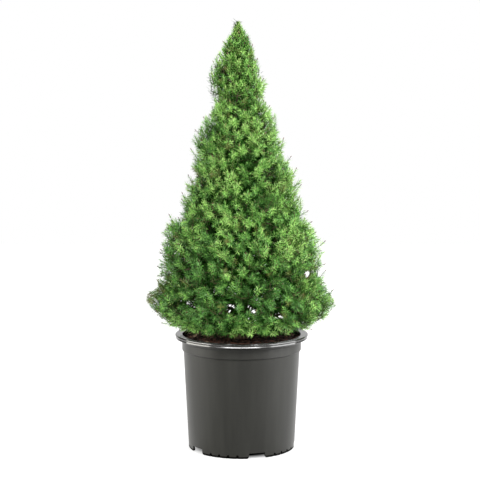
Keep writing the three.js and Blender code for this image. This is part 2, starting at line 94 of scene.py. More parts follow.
FORK = Values(behind=0.15, first=0.15, last=0.85)
RISE = Values(rises=(36, 72), scatter=30, turn=40)  # rises low down and at the tip
UNDERSIDE = Values(below=0.3, depth=0.05, rise=-8)

# -------- finer growth, only here

BRANCHLETS = 420  # over the whole crown
BRANCHLET = Values(neck=0.05, neck_of_crown=0.7, follow=0.3, sunk=0.016, radii=(0.0018, 0.0008))
LAYERS = [  # shoots from the outside in: how many, how deep their tips lie, how long they are, how they turn
    Values(count=3700, depth=(-0.002, 0.012), length=(0.014, 0.023), scatter=18),
    Values(count=1500, depth=(0.028, 0.046), length=(0.024, 0.036), scatter=34),
    Values(count=1050, depth=(0.052, 0.086), length=(0.03, 0.044), scatter=50),
]
TUFTS = Values(  # outer shoots gather in tufts
    count=700, radius=0.0145, widest=1.6, scatter=0.22, pull=0.2, dome=0.01, open=0.5,
)
LUMPS = Values(  # the unevenness of the crown's surface, less where the crown is narrow
    per_metre=(27, 27, 44), strength=1.7, deep=0.015, out=-0.25, full_reach=0.1, least=0.3,
)
SHOOT_RISES = (24, 64)
LEADER_ZONE = Values(height=(0.835, 0.875), turned=0.85, drop=0.006)  # where shoots turn upright
LAST_YEAR = 0.016  # how far the older needles reach down a twig, behind its new shoot
TWIG = Values(radii=(0.0009, 0.0007, 0.0004), neck=0.55, bend=0.45, turn_back=1.6, inside=-0.003)
NEEDLES = {  # sizes in metres; lean is the angle off the shoot at its root and at its tip
    "young": Values(length=0.0108, width=0.0011, per_metre=1480, lean=(76, 28)),
    "grown": Values(length=0.012, width=0.0018, per_metre=880, lean=(80, 40)),
    "last_year": Values(length=0.012, width=0.0018, per_metre=620, lean=(80, 40)),
    "old": Values(length=0.0145, width=0.003, per_metre=620, lean=(80, 45)),
    "branch": Values(length=0.013, width=0.0026, per_metre=560, lean=(70, 70)),
}
BLADE = Values(  # where along a needle it is widest, how deep its keel is, and how needles vary
    widest=0.36, keel=0.3, turn=0.25, lean=8, size=(0.82, 1.12),
)
SQUEEZE = Values(  # how shoots are held in and shortened where the crown is narrow
    room=0.75, slack=0.004, deepest=0.8, narrow=0.045, least=0.15, thin=0.03, shortest=0.75, inside=0.002,
)
SKIRT_CLEAR = 0.027  # from the mix up to the lowest shoots
STRAYS = Values(  # thinly needled shoots that stand out of the crown, but no further out than the widest
    count=170, out=0.011, length=0.026, scatter=0.16, needled=0.8, thin=0.6, widest=0.194,
)
BUD = Values(length=0.0042, radius=0.001, share=0.42, deepest=0.014)
SKY = [  # gaps right through the low crown: across, height at the trunk, half width, half height
    (-0.0245, 0.2945, 0.0066, 0.0105), (0.017, 0.297, 0.0052, 0.0056), (0.0262, 0.2888, 0.0062, 0.0046),
    (0.076, 0.2805, 0.0145, 0.0055), (-0.1, 0.296, 0.0045, 0.0032), (-0.083, 0.287, 0.0042, 0.003),
    (-0.113, 0.306, 0.004, 0.0032), (0.138, 0.368, 0.0048, 0.008), (0.033, 0.313, 0.006, 0.0032),
]
HOLLOWS = [  # azimuth, height, half width, half height, and how deep it is, or below 0 how far it stands out
    (-79, 0.612, 0.024, 0.009, 0.03), (-53, 0.588, 0.01, 0.012, 0.03), (-99, 0.527, 0.01, 0.016, 0.032),
    (-86, 0.507, 0.009, 0.014, 0.03), (-65, 0.484, 0.012, 0.012, 0.03), (-54, 0.382, 0.012, 0.014, 0.046),
    (-88, 0.337, 0.018, 0.012, 0.048), (-81, 0.366, 0.01, 0.01, 0.042), (-112, 0.366, 0.012, 0.012, 0.044),
    (-128, 0.322, 0.018, 0.012, 0.03), (-150, 0.42, 0.01, 0.018, 0.022), (-140, 0.372, 0.012, 0.018, 0.026),
    (-96, 0.745, 0.006, 0.012, 0.016), (180, 0.73, 0.03, 0.014, 0.01), (180, 0.631, 0.035, 0.008, 0.012),
    (180, 0.574, 0.04, 0.008, 0.009), (180, 0.537, 0.045, 0.009, 0.01), (180, 0.486, 0.05, 0.01, 0.014),
    (0, 0.835, 0.02, 0.01, 0.006), (180, 0.274, 0.06, 0.008, 0.012), (0, 0.266, 0.06, 0.008, 0.01),
    (0, 0.752, 0.045, 0.022, -0.009), (0, 0.702, 0.055, 0.022, -0.01), (186, 0.322, 0.022, 0.01, -0.01),
]

CAMERA = Values(x=-0.0033, distance=2.817, height=0.7332, down=5.94, lens=101.3, sensor=36)

GOLDEN_ANGLE = pi * (3 - sqrt(5))
UP = np.array([0.0, 0.0, 1.0])


# -------- small helpers


def seeded(index, channel):
    """A repeatable number from 0 to 1 for a whole number and a channel."""
    wave = np.sin(index * 12.9898 + channel * 78.233) * 43758.5453
    return wave - np.floor(wave)


def unit(v):
    length = norm(v, axis=-1, keepdims=True)
    return v / np.maximum(length, 1e-12)


def lerp(a, b, t):
    return a + (b - a) * t


def progress(value, start, end, most=1):
    """How far a value has come from start to end, from 0 to 1 or to another most."""
    return np.clip((value - start) / (end - start), 0, most)


def ring_way(azimuth):
    """The level direction at an azimuth in degrees."""
    turn = np.radians(azimuth)
    return np.stack([np.cos(turn), np.sin(turn), np.zeros_like(turn)], axis=-1)


def bezier(p0, p1, p2, t):
    t = np.asarray(t)[..., None]
    return p0 * (1 - t) ** 2 + p1 * 2 * t * (1 - t) + p2 * t**2


def curves(lines, t):
    """Points along each of many three-point curves."""
    return np.stack([bezier(*line, t) for line in lines])


def across(way):
    """Two directions square to each given direction and to each other."""
    aside = np.where(np.abs(way[..., 2:3]) < 0.9, UP, np.array([1.0, 0.0, 0.0]))
    first = unit(np.cross(way, aside))
    return first, np.cross(way, first)


def mesh_object(name, verts, faces, material, smooth=False):
    """A new object from an array of points and an array of faces."""
    mesh = bpy.data.meshes.new(name)
    mesh.from_pydata(verts, [], faces.tolist())
    mesh.polygons.foreach_set("use_smooth", np.full(len(faces), smooth))
    mesh.materials.append(material)
    return add_object(name, mesh)


def add_object(name, data):
    obj = bpy.data.objects.new(name, data)
    bpy.context.scene.collection.objects.link(obj)
    return obj


def dress(obj, slot, *nodes):
    """Puts a piece on the plant's one body, in place of CAD nodes. The slot is not used."""
    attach(obj, "root")
    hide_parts(*nodes)


# -------- materials


def shader(name, color, roughness, specular):
    """A new material and its shader."""
    material = bpy.data.materials.new(name)
    material.use_nodes = True
    bsdf = material.node_tree.nodes["Principled BSDF"]
    wire(bsdf, {"Base Color": (*color, 1), "Roughness": roughness, "Specular IOR Level": specular})
    return material, bsdf


def wire(node, inputs):
    """Sets a node's inputs, each to a number or a colour, or to the output of another node."""
    for socket, value in inputs.items():
        if isinstance(value, bpy.types.NodeSocket):
            node.id_data.links.new(value, node.inputs[socket])
        else:
            node.inputs[socket].default_value = value


def add_node(near, kind, inputs, **settings):
    """A new node in the same tree as another node or socket."""
    node = near.id_data.nodes.new("ShaderNode" + kind)
    for name, value in settings.items():
        setattr(node, name, value)
    wire(node, inputs)
    return node


def in_object(near):
    """The place on a surface, in the object's own space."""
    return add_node(near, "TexCoord", {}).outputs["Object"]


def pattern(near, scale, detail, stretch=(1, 1, 1)):
    """A noise pattern in the object's own space."""
    place = add_node(near, "Mapping", {"Scale": stretch, "Vector": in_object(near)}).outputs["Vector"]
    return add_node(near, "TexNoise", {"Scale": scale, "Detail": detail, "Vector": place}).outputs["Fac"]


def ramp(value, stops):
    """Colours by a value from 0 to 1."""
    node = add_node(value, "ValToRGB", {"Fac": value})
    elements = node.color_ramp.elements
    while len(elements) < len(stops):
        elements.new(0.5)
    for element, (place, color) in zip(elements, stops):
        element.position = place
        element.color = (*color, 1)
    return node.outputs["Color"]


def spread(value, low, high, to_low, to_high):
    """A value from low to high, spread over another range."""
    numbers = {"From Min": low, "From Max": high, "To Min": to_low, "To Max": to_high}
    return add_node(value, "MapRange", {"Value": value, **numbers}).outputs["Result"]


def mottle(bsdf, value, low, dark, high, light):
    """A base colour from dark to light, as a value goes from low to high."""
    wire(bsdf, {"Base Color": ramp(value, [(low, dark), (high, light)])})


def gloss(bsdf, value, *numbers):
    """A roughness that a value makes uneven."""
    wire(bsdf, {"Roughness": spread(value, *numbers)})


def bump(bsdf, height, strength, distance):
    node = add_node(bsdf, "Bump", {"Strength": strength, "Distance": distance, "Height": height})
    wire(bsdf, {"Normal": node.outputs["Normal"]})


def plastic():
    """Blow-moulded plastic: dark grey, satin, with faint upright flow marks."""
    material, bsdf = shader("pot_plastic", (0.025, 0.025, 0.022), 0.3, 0.3)
    flow = pattern(bsdf, 14, 3, (5, 5, 0.5))
    mottle(bsdf, flow, 0.1, (0.018, 0.018, 0.016), 0.9, (0.028, 0.028, 0.025))
    gloss(bsdf, pattern(bsdf, 18, 0), 0, 1, 0.28, 0.36)
    bump(bsdf, pattern(bsdf, 9, 0), 0.04, 0.002)
    return material


def lip_plastic():
    material, bsdf = shader("pot_lip", (0.024, 0.024, 0.022), 0.12, 1.0)
    gloss(bsdf, pattern(bsdf, 30, 0), 0, 1, 0.08, 0.14)
    return material


def foot_painted_shade():
    """The rim of the foot, painted near black as the shade where the pot meets the floor."""
    material, bsdf = shader("pot_foot_painted_shade", (0.004, 0.004, 0.003), 0.9, 0.05)
    mottle(bsdf, pattern(bsdf, 160, 4), 0.3, (0.002, 0.002, 0.002), 0.8, (0.01, 0.01, 0.008))
    return material


def soil():
    material, bsdf = shader("potting_mix", (0.02, 0.013, 0.009), 0.95, 0.2)
    mottle(bsdf, pattern(bsdf, 260, 6), 0.35, (0.01, 0.007, 0.005), 0.7, (0.056, 0.036, 0.024))
    bump(bsdf, pattern(bsdf, 420, 5), 0.8, 0.002)
    return material


def chip(name, dark, light):
    material, bsdf = shader(name, dark, 0.85, 0.3)
    mottle(bsdf, pattern(bsdf, 90, 5), 0.3, dark, 0.7, light)
    bump(bsdf, pattern(bsdf, 500, 4, (1, 1, 4)), 0.6, 0.0006)
    return material


def bark(name, dark, light, scale):
    material, bsdf = shader(name, dark, 0.9, 0.2)
    flakes = pattern(bsdf, scale, 6, (1, 1, 0.45))
    mottle(bsdf, flakes, 0.32, dark, 0.68, light)
    bump(bsdf, flakes, 0.7, 0.001)
    return material


def needle_paint(name, color, specular):
    """Needles: waxy, a plain colour for each tone, with a little unevenness in its gloss."""
    material, bsdf = shader("needles_" + name, color, 0.45, specular)
    gloss(bsdf, pattern(bsdf, 300, 2), 0.3, 0.7, 0.36, 0.54)
    return material


# -------- the pot


def wall_radius(height):
    return lerp(POT.foot_radius, POT.collar_radius - POT.collar_step, height / POT.height)


def rounded(corners):
    """An outline of (radius, height, fillet) corners: a fillet is an arc with a short flat at either end."""
    outline = []
    for i, (r, z, fillet) in enumerate(corners):
        here = np.array([r, z])
        if fillet == 0 or i in (0, len(corners) - 1):
            outline.append(here)
            continue
        before = unit(np.array(corners[i - 1][:2]) - here)
        after = unit(np.array(corners[i + 1][:2]) - here)
        outline.append(here + before * fillet * 1.2)
        for t in np.linspace(0, 1, 7):
            outline.append(bezier(here + before * fillet, here, here + after * fillet, t))
        outline.append(here + after * fillet * 1.2)
    return outline


def pot_outline():
    height, lip, collar = POT.height, POT.lip_radius, POT.collar_radius
    edge = height - POT.lip_drop
    collar_top = edge - 0.008
    collar_foot = collar_top - POT.collar_height
    foot, floor, wall = POT.foot_radius, POT.floor_height, POT.wall
    return rounded([
        (0, floor, 0),
        (foot - wall - 0.001, floor, 0.0008),
        (foot - wall - 0.003, 0, 0.0005),
        (foot, 0, POT.foot_round),
        (wall_radius(FOOT_SHADE_HEIGHT), FOOT_SHADE_HEIGHT, 0),
        (wall_radius(collar_foot), collar_foot, 0.0008),
        (collar, collar_foot + 0.0014, 0.0008),
        (collar, collar_top + 0.002, 0.0035),
        (lip - 0.005, edge - 0.0022, 0.0015),
        (lip - 0.0013, edge - 0.0016, 0.0005),
        (lip - 0.001, edge - 0.001, 0.0003),
        (lip - 0.0018, edge + 0.0018, 0.0004),
        (lip - 0.0003, edge + 0.0032, 0.0005),
        (lip + 0.0002, edge + 0.0044, 0.0004),
        (lip - 0.0004, height, 0.0004),
        (lip - 0.003, height + 0.0003, 0.0008),
        (collar + 0.005, height, 0.001),
        (collar - 0.0006, height, 0.0012),
        (collar - wall - 0.0004, collar_top, 0.004),
        (wall_radius(collar_foot) - wall, collar_foot, 0.002),
        (foot - wall, floor + wall, 0.003),
        (0, floor + wall, 0),
    ])


def lathe(outline, sides):
    """A closed body turned round Z from an outline that starts and ends on the axis."""
    rings = np.array(outline)[1:-1]
    angles = np.linspace(0, 2 * pi, sides, endpoint=False)
    verts = np.stack([
        rings[:, None, 0] * np.cos(angles), rings[:, None, 0] * np.sin(angles),
        np.broadcast_to(rings[:, None, 1], (len(rings), sides)),
    ], axis=-1).reshape(-1, 3)
    bm = bmesh.new()
    points = [bm.verts.new(v) for v in verts]
    poles = [bm.verts.new((0, 0, outline[0][1])), bm.verts.new((0, 0, outline[-1][1]))]
    for row in range(len(rings) - 1):
        for i in range(sides):
            a, b = row * sides + i, row * sides + (i + 1) % sides
            bm.faces.new([points[a], points[b], points[b + sides], points[a + sides]])
    last = (len(rings) - 1) * sides
    for i in range(sides):
        j = (i + 1) % sides
        bm.faces.new([poles[0], points[j], points[i]])
        bm.faces.new([poles[1], points[last + i], points[last + j]])
    bmesh.ops.recalc_face_normals(bm, faces=bm.faces)
    return bm


def add_bar(bm, outline, near, far, azimuth):
    """A bar that points out along an azimuth from one radius to another, with its outline across that."""
    c, s = cos(radians(azimuth)), sin(radians(azimuth))
    ends = [[bm.verts.new((x * c - y * s, x * s + y * c, z)) for y, z in outline] for x in (near, far)]
    bm.faces.new(ends[0])
    bm.faces.new(reversed(ends[1]))
    for i in range(len(outline)):
        j = (i + 1) % len(outline)
        bm.faces.new([ends[0][i], ends[0][j], ends[1][j], ends[1][i]])


def notch_outline(half_width, top, corner):
    """Half of a gap between two feet with round corners, and the same the other way round."""
    turns = np.linspace(0, pi / 2, 6)
    arc = [(half_width + corner * (1 - sin(t)), corner * (1 - cos(t))) for t in turns]
    half = [(half_width + corner, -top), *arc, (half_width, top)]
    return half + [(-y, z) for y, z in reversed(half)]


def foot_cutters():
    """Everything cut out of the pot's foot: the gaps, the small slots between them, and the drain holes."""
    bm = bmesh.new()
    foot, floor, wall = POT.foot_radius, POT.floor_height, POT.wall
    step = 360 / NOTCH.count
    half_width = foot * sin(radians(NOTCH.span / 2))
    notch = notch_outline(half_width, floor, NOTCH.corner)
    y, z = SLOT.width / 2, SLOT.height
    slot = [(-y, -z), (y, -z), (y, z * 0.8), (y * 0.6, z), (-y * 0.6, z), (-y, z * 0.8)]
    for i in range(NOTCH.count):
        azimuth = NOTCH.first_azimuth + step * i
        add_bar(bm, notch, foot - 4 * wall, foot + 2 * wall, azimuth)
        for k in range(SLOT.count):
            aside = step / 2 + SLOT.step * (k - (SLOT.count - 1) / 2)
            add_bar(bm, slot, foot - SLOT.inward, foot + wall, azimuth + aside)
    for i in range(DRAIN.count):
        turn = radians(360 / DRAIN.count * (i + 0.5))
        middle = Vector((cos(turn), sin(turn), 0)) * DRAIN.ring_radius
        hole = bmesh.ops.create_cone(
            bm, cap_ends=True, segments=28, radius1=DRAIN.radius, radius2=DRAIN.radius, depth=0.03,
        )
        bmesh.ops.translate(bm, verts=hole["verts"], vec=middle + Vector((0, 0, floor)))
    bmesh.ops.recalc_face_normals(bm, faces=bm.faces)
    return bm


def object_from(bm, name, material):
    mesh = bpy.data.meshes.new(name)
    bm.to_mesh(mesh)
    bm.free()
    mesh.materials.append(material)
    return add_object(name, mesh)


def apply_modifiers(obj):
    bpy.context.view_layer.update()
    graph = bpy.context.evaluated_depsgraph_get()
    mesh = bpy.data.meshes.new_from_object(obj.evaluated_get(graph))
    obj.modifiers.clear()
    obj.data = mesh


def make_pot():
    finish = plastic()
    pot = object_from(lathe(pot_outline(), 160), "pot_shell", finish)
    cutter = object_from(foot_cutters(), "foot_cutters", finish)
    cut = pot.modifiers.new("cut", "BOOLEAN")
    cut.operation = "DIFFERENCE"
    cut.solver = "EXACT"
    cut.object = cutter
    apply_modifiers(pot)
    bpy.data.objects.remove(cutter)
    pot.data.shade_smooth()
    pot.data.set_sharp_from_angle(angle=radians(38))
    pot.data.materials.append(lip_plastic())
    pot.data.materials.append(foot_painted_shade())
    # The top band takes the glossier lip plastic, and the lowest band takes the foot's painted shade.
    for face in pot.data.polygons:
        if face.center.z > POT.height - LIP_BAND:
            face.material_index = 1
        elif face.center.z < FOOT_SHADE_HEIGHT:
            face.material_index = 2
    dress(pot, "pot", "pot")


# -------- the potting mix

MULCH = Values(count=1500, length=(0.004, 0.016), thickest=0.003)
MULCH_KINDS = [  # name, dark and light colour, share
    ("mulch_dark", (0.022, 0.015, 0.011), (0.075, 0.048, 0.036), 0.46),
    ("mulch_red", (0.055, 0.024, 0.016), (0.15, 0.072, 0.046), 0.42),
    ("mulch_tan", (0.11, 0.075, 0.048), (0.26, 0.185, 0.12), 0.12),
]


def mix_height(x, y):
    """The top of the mix: lumpy, and lower towards the trunk."""
    off_pad = np.hypot(x, y) - MIX.pad_radius
    dip = MIX.dish * np.clip(1 - off_pad / (MIX.dish_radius - MIX.pad_radius), 0, 1)
    wave = np.sin(x * 190 + 1.3) * np.sin(y * 170 + 0.4) + 0.6 * np.sin(x * 410 - y * 330)
    return MIX.top - MIX.lower - dip + MIX.wave * wave * np.clip(off_pad / MIX.fade, 0, 1)


def make_mix():
    """The mix as one closed body: its sides and foot follow the pot's inside."""
    foot = POT.floor_height + POT.wall + CLEAR
    shoulder = MIX.top - MIX.shoulder
    gap = POT.wall + 2 * CLEAR
    side = [(POT.foot_radius - gap, foot), (wall_radius(shoulder) - gap, shoulder)]
    top = [(r, 0) for r in np.linspace(wall_radius(MIX.top) - gap + MIX.spread, 0.004, 44)]
    bm = lathe([(0, foot), *side, *top, (0, MIX.top - MIX.dish)], 120)
    for v in [v for v in bm.verts if v.co.z == 0]:
        rough = noise(v.co * 320) * 0.0012 + noise(v.co * 900) * 0.0006
        v.co.z = float(mix_height(v.co.x, v.co.y)) + rough * (hypot(v.co.x, v.co.y) > MIX.pad_radius)
    mix = object_from(bm, "mix_body", soil())
    mix.data.shade_smooth()
    dress(mix, "potting_mix", "potting_mix")


def make_mulch():
    """Chips and strands of bark that lie on the mix."""
    count = MULCH.count
    reach = wall_radius(MIX.top) - POT.wall + MIX.spread
    length = lerp(*MULCH.length, rng.uniform(0, 1, count) ** 2.2)
    r = np.minimum(reach * np.sqrt(rng.uniform(0.04, 1, count)), reach - 0.45 * length)
    turn = rng.uniform(0, 2 * pi, count)
    x, y = r * np.cos(turn), r * np.sin(turn)
    width = length * rng.uniform(0.16, 0.55, count)
    thick = np.minimum(width * rng.uniform(0.25, 0.6, count), MULCH.thickest)
    yaw = rng.uniform(0, 2 * pi, count)
    pitch = rng.normal(0, 0.22, count)
    along = np.stack([np.cos(yaw) * np.cos(pitch), np.sin(yaw) * np.cos(pitch), np.sin(pitch)], axis=-1)
    aside, lift = across(along)
    roll = rng.normal(0, 0.4, (count, 1))
    aside, lift = aside * np.cos(roll) + lift * np.sin(roll), lift * np.cos(roll) - aside * np.sin(roll)
    middle = np.stack([x, y, mix_height(x, y) + 0.3 * thick + np.abs(np.sin(pitch)) * length * 0.3], axis=-1)
    signs = np.array([(a, b, c) for a in (-1, 1) for b in (-1, 1) for c in (-1, 1)], float)
    uneven = rng.uniform(0.55, 1.0, (count, 8, 3)) * signs * 0.5
    edges = np.stack([along * length[:, None], aside * width[:, None], lift * thick[:, None]], axis=1)
    verts = middle[:, None] + uneven @ edges
    box = np.array([(0, 1, 3, 2), (4, 6, 7, 5), (0, 4, 5, 1), (2, 3, 7, 6), (0, 2, 6, 4), (1, 5, 7, 3)])
    pick = rng.uniform(0, 1, count)
    low = 0.0
    for name, dark, light, share in MULCH_KINDS:
        chosen = verts[(pick >= low) & (pick < low + share)]
        low += share
        faces = (np.arange(len(chosen))[:, None, None] * 8 + box).reshape(-1, 4)
        chips = mesh_object(name, chosen.reshape(-1, 3), faces, chip(name, dark, light))
        dress(chips, "potting_mix", "potting_mix")


# -------- the crown's rule


def trunk_at(height):
    """The middle of the trunk at heights."""
    t = progress(height, TRUNK.foot, TRUNK.top, 1.1)
    swing = np.sin(t * 2 * pi) * TRUNK.swing
    lean_x, lean_y = TRUNK.lean
    return np.stack([lean_x * t * t + swing * t, lean_y * t + swing * (1 - t), height], axis=-1)


def trunk_radius(height):
    flare = (TRUNK.foot_radius - TRUNK.stem_radius) * np.exp((TRUNK.foot - height) / TRUNK.flare_height)
    return lerp(TRUNK.stem_radius, TRUNK.tip_radius, progress(height, TRUNK.foot, TRUNK.top)) + flare


def profile_radius(height):
    heights, radii = zip(*reversed(CROWN_PROFILE))
    return np.interp(height, heights, radii)


def swell(height, azimuth):
    """How far the crown stands out of its profile."""
    total = 0.0
    for at, level, out, tall, wide in BULGES:
        turn = (azimuth - at + 540) % 360 - 180
        total = total + out * np.exp(-(((height - level) / tall) ** 2) - (turn / wide) ** 2)
    return total


def crown_radius(height, azimuth):
    base = profile_radius(height)
    return np.where(base > 0, np.maximum(base + swell(height, azimuth), 0.001), 0)


def off_axis(point):
    """How far points are from the trunk's middle, and on which side of it, in degrees."""
    away = point - trunk_at(point[..., 2])
    return np.hypot(away[..., 0], away[..., 1]), np.degrees(np.arctan2(away[..., 1], away[..., 0]))


def depth_in_crown(point):
    """How far points are inside the crown's surface, measured level."""
    reach, azimuth = off_axis(point)
    return crown_radius(point[..., 2], azimuth) - reach


def crown_points(count):
    """Points spread over the crown's surface by the golden angle, top to bottom."""
    z, r = np.array(CROWN_PROFILE).T
    steps = np.hypot(np.diff(z), np.diff(r)) * ((r[1:] + r[:-1]) / 2 + SPREAD_FLOOR)
    areas = np.concatenate([[0], np.cumsum(steps)])
    k = np.arange(count)
    place = areas[-1] * k / count
    height, base = np.interp(place, areas, z), np.interp(place, areas, r)
    azimuth = np.degrees(k * GOLDEN_ANGLE) % 360
    radius = np.maximum(base + swell(height, azimuth), 0)
    return trunk_at(height) + radius[:, None] * ring_way(azimuth)


def plan_masses():
    """The masses of needles: name, heart, outward direction, inner edge, and whether on a bough."""
    masses = []
    for level, (whorl_height, count, turn, boughs) in enumerate(WHORLS):
        for i in range(count):
            azimuth = turn + 360 / count * i
            height = whorl_height + (seeded(i + 10 * level, 2) - 0.5) * HEART.scatter
            outward = ring_way(azimuth)
            heart = trunk_at(height) + outward * HEART.share * crown_radius(height, azimuth)
            least = trunk_radius(height) + HOLLOW.least
            inner = max(HOLLOW.share * profile_radius(height), least) if boughs else least
            name = f"foliage_{level + 1}_{i + 1}"
            mass = Values(name=name, place=i, outward=outward, heart=heart, inner=inner, boughs=boughs)
            masses.append(mass)
    heart = trunk_at(LEADER_HEART)
    masses.append(Values(name="foliage_leader", place=0, outward=UP, heart=heart, inner=None, boughs=False))
    return masses


def bough_line(mass):
    """The bough of a mass, from inside the trunk to the mass's inner edge."""
    run = mass.inner
    tip = trunk_at(mass.heart[2]) + mass.outward * run
    tip[2] -= BOUGH.tip_drop * run
    stagger = (0.5 if mass.place % 2 else -0.5) * BOUGH.stagger
    root_height = tip[2] - run * tan(radians(BOUGH.rise)) + stagger
    root = trunk_at(max(root_height, TRUNK.foot + BOUGH.lowest))
    bend = (root + tip) / 2 - UP * BOUGH.sag * run
    return root, bend, tip


def reach_along(heart, way, hearts):
    """How far it is from a heart along a direction to the crown's surface, and to the next mass."""
    steps = np.linspace(0.002, 0.4, 400)
    inside = depth_in_crown(heart + steps[:, None] * way) > 0
    surface = steps[np.argmin(inside)] if not inside.all() else steps[-1]
    between = heart - hearts
    far = norm(between, axis=1)
    closing = -unit(between) @ way
    ahead = (far > 1e-9) & (closing > 1e-6)
    return surface, np.min(far[ahead] / 2 / closing[ahead], initial=np.inf)


def stem_line(mass, hearts):
    """The stem of a mass, on from its bough or the trunk to near the crown's surface."""
    if mass.boughs:
        _, bend, root = bough_line(mass)
        ahead = unit(root - bend)
    elif mass.inner is None:
        root, ahead = trunk_at(TRUNK.top), UP
    else:
        root = trunk_at(mass.heart[2] - STEM.drop)
        ahead = unit(mass.heart - root)
    way = unit(mass.heart - root)
    surface, gap = reach_along(mass.heart, way, hearts)
    end = mass.heart + way * min(surface * STEM.reach, gap * STEM.gap)
    return root, root + ahead * norm(end - root) * STEM.bend, end


def spray_ways(points, rises=RISE.rises):
    """The way growth points at places on the crown: outwards, and more upright towards the top."""
    index = np.arange(len(points))
    _, azimuth = off_axis(points)
    highest, lowest = CROWN_PROFILE[0][0], CROWN_PROFILE[-1][0]
    up = (points[:, 2] - lowest) / (highest - lowest)
    rise = lerp(*rises, up**1.5) + (seeded(index, 4) - 0.5) * RISE.scatter
    under = np.clip((UNDERSIDE.below - points[:, 2]) / UNDERSIDE.depth, 0, 1)
    tilt = np.radians(lerp(rise, UNDERSIDE.rise, under))[:, None]
    turn = (seeded(index, 5) - 0.5) * RISE.turn
    return ring_way(azimuth + turn) * np.cos(tilt) + UP * np.sin(tilt)


def through_sky(points):
    """Which points lie in a gap that shows sky, seen along the photo's line of sight."""
    eye = np.array([CAMERA.x, -CAMERA.distance, CAMERA.height])
    seen = eye + (points - eye) * (CAMERA.distance / (points[:, 1] - eye[1]))[:, None]
    ragged = 1 + 0.8 * np.sin(points[:, 0] * 1500) * np.cos(points[:, 2] * 1300)
    inside = np.zeros(len(points), bool)
    for x, z, half_width, half_height in SKY:
        inside |= ((seen[:, 0] - x) / half_width) ** 2 + ((seen[:, 2] - z) / half_height) ** 2 < ragged
    return inside


# -------- limbs


def tubes(lines, radii, sides):
    """Closed tapering tubes along many lines of equally many points, as points and triangles."""
    count, steps = lines.shape[:2]
    way = unit(np.gradient(lines, axis=1))
    first, second = across(unit(lines[:, -1:] - lines[:, :1]))
    first = unit(first - way * np.sum(first * way, axis=-1, keepdims=True))
    second = np.cross(way, first)
    turn = np.arange(sides) * 2 * pi / sides
    ring = np.cos(turn)[:, None] * first[:, :, None] + np.sin(turn)[:, None] * second[:, :, None]
    verts = lines[:, :, None] + ring * radii[:, :, None, None]
    faces = []
    for step in range(steps - 1):
        for i in range(sides):
            a, b = step * sides + i, step * sides + (i + 1) % sides
            faces += [(a, b, b + sides), (a, b + sides, a + sides)]
    last = (steps - 1) * sides
    for i in range(1, sides - 1):
        faces += [(0, i + 1, i), (last, last + i, last + i + 1)]
    faces = np.arange(count)[:, None, None] * steps * sides + np.array(faces)
    return verts.reshape(-1, 3), faces.reshape(-1, 3)


def joined(parts):
    """Several sets of points and triangles as one."""
    verts, faces, start = [], [], 0
    for points, triangles in parts:
        verts.append(points)
        faces.append(triangles + start)
        start += len(points)
    return np.concatenate(verts), np.concatenate(faces)


def barked_tubes(lines, radii, sides, scale, depth, inset=0.0, size=1.0):
    """Tubes pushed in and out by flakes and ridges that run along the wood."""
    verts, faces = tubes(lines, radii, sides)
    middle = np.repeat(lines.reshape(-1, 3), sides, axis=0)
    flakes = np.array([
        noise(Vector((x * scale, y * scale, z * scale * 0.4)))
        + 0.5 * noise(Vector((x * scale * 2.7, y * scale * 2.7, z * scale)))
        for x, y, z in verts
    ])
    return verts + unit(verts - middle) * (flakes * depth * size - inset * size)[:, None], faces


def make_limbs(masses):
    """The trunk and boughs as one mesh with the bark's relief."""
    sides = 40
    up = np.linspace(0, 1, 300)
    height = lerp(TRUNK.foot, TRUNK.top, up * up * 0.35 + up * 0.65)
    radius = trunk_radius(height)
    size = np.repeat(radius, sides)
    line = trunk_at(height)[None]
    trunk = barked_tubes(line, radius[None], sides, scale=300, depth=0.1, inset=0.02, size=size)
    t = np.linspace(0, 1, 26)
    carriers = [mass for mass in masses if mass.boughs]
    lines = curves([bough_line(mass) for mass in carriers], t)
    radii = np.tile(lerp(*BOUGH.radii, t), (len(lines), 1))
    boughs = barked_tubes(lines, radii, 12, scale=520, depth=0.0005)
    paint = bark("bark", (0.05, 0.032, 0.022), (0.17, 0.115, 0.075), 170)
    limbs = mesh_object("limbs", *joined([trunk, boughs]), paint, smooth=True)
    dress(limbs, "bark", "trunk", *[mass.name.replace("foliage", "bough") for mass in carriers])


# -------- branchlets and shoots


def grow_branchlets(masses):
    """Branchlets from each mass's stem to just under the crown's surface, as three-point curves."""
    hearts = np.array([mass.heart for mass in masses])
    stems = np.array([stem_line(mass, hearts) for mass in masses])
    tips = crown_points(BRANCHLETS)
    owner = np.argmin(norm(tips[:, None] - hearts, axis=-1), axis=1)
    straight = unit(tips - hearts[owner])
    ways = unit(lerp(spray_ways(tips), straight, BRANCHLET.follow))
    _, azimuth = off_axis(tips)
    reach = crown_radius(tips[:, 2], azimuth)[:, None]
    tips = tips - ways * np.minimum(BRANCHLET.sunk, 0.3 * reach + 0.004)
    necks = tips - ways * np.minimum(BRANCHLET.neck, BRANCHLET.neck_of_crown * reach + 0.012)
    root, bend, end = stems[owner].transpose(1, 0, 2)
    chord = end - root
    offset = np.sum((necks - root) * chord, axis=-1) / np.sum(chord * chord, axis=-1)
    forks = bezier(root, bend, end, np.clip(offset - FORK.behind, FORK.first, FORK.last))
    behind = np.sum((necks - forks) * ways, axis=-1) < 0
    forks[behind] = hearts[owner][behind]
    lines = np.stack([forks, necks, tips], axis=1)
    crossing = [through_sky(points).any() for points in curves(lines, np.linspace(0.3, 1, 15))]
    return stems, lines[~np.array(crossing)]


def hollow_depth(tips):
    """How far the dark hollows push points in."""
    _, azimuth = off_axis(tips)
    depth = np.zeros(len(tips))
    for at, level, half_width, half_height, deep in HOLLOWS:
        turn = np.radians((azimuth - at + 540) % 360 - 180) * profile_radius(level)
        depth += deep * np.exp(-((turn / half_width) ** 2) - ((tips[:, 2] - level) / half_height) ** 2)
    return depth


